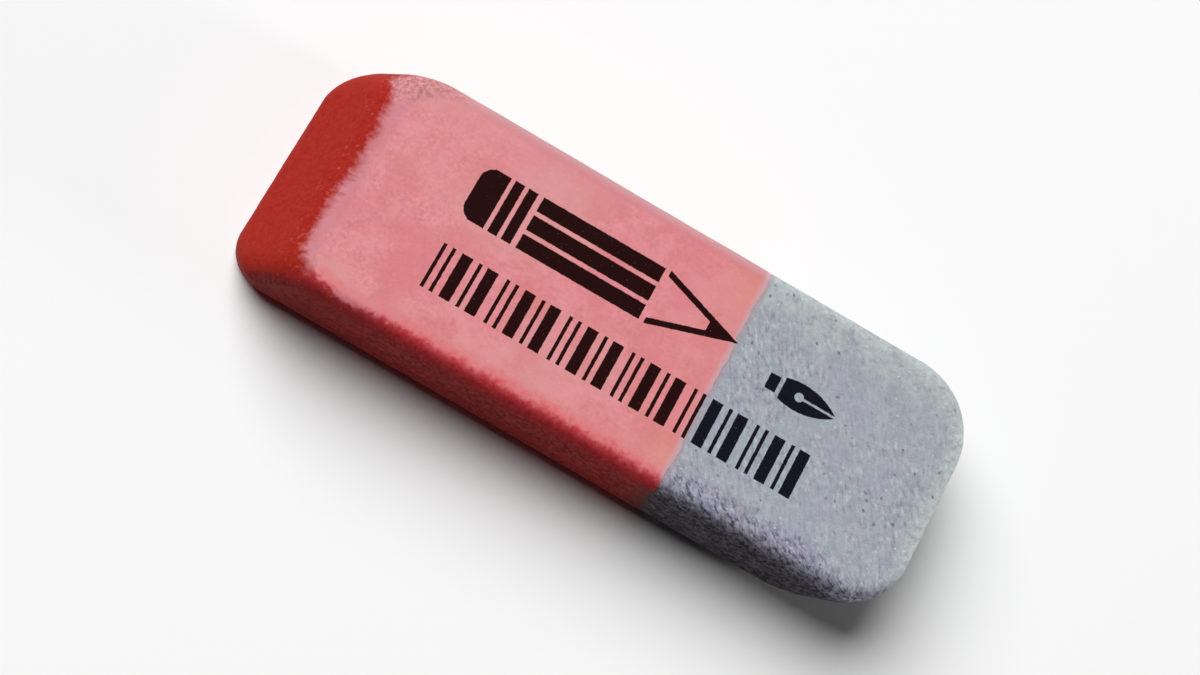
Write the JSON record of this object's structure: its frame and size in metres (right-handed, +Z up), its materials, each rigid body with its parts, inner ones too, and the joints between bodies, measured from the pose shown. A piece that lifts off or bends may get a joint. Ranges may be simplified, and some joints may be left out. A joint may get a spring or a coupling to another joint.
{
  "type": "rubber eraser",
  "caption": "Flat slanted-end rubber eraser with rounded corners: a red pencil-erasing end bonded face to face to a gritty blue-grey ink-erasing end.",
  "frame": {"origin": "under the middle of the block, on the surface that it lies on", "axes": "+X along the length, from the red pencil end to the blue-grey ink end; +Y across the width; +Z up through the thickness, out of the printed face"},
  "size_m": [0.052, 0.0188, 0.0075],
  "materials": {
    "red_rubber": "matte brick-red eraser rubber under a rubbed-in pale pink powder bloom on the large faces, bare red on the ends and lower sides; soft grain",
    "grey_rubber": "matte slate-grey gritty eraser rubber under a pale blue-grey powder bloom on the large faces, pitted and coarse-grained, darker along the lower sides"
  },
  "bodies": {
    "root": {"pencil_rubber": "red_rubber", "ink_rubber": "grey_rubber"}
  },
  "joints": []
}
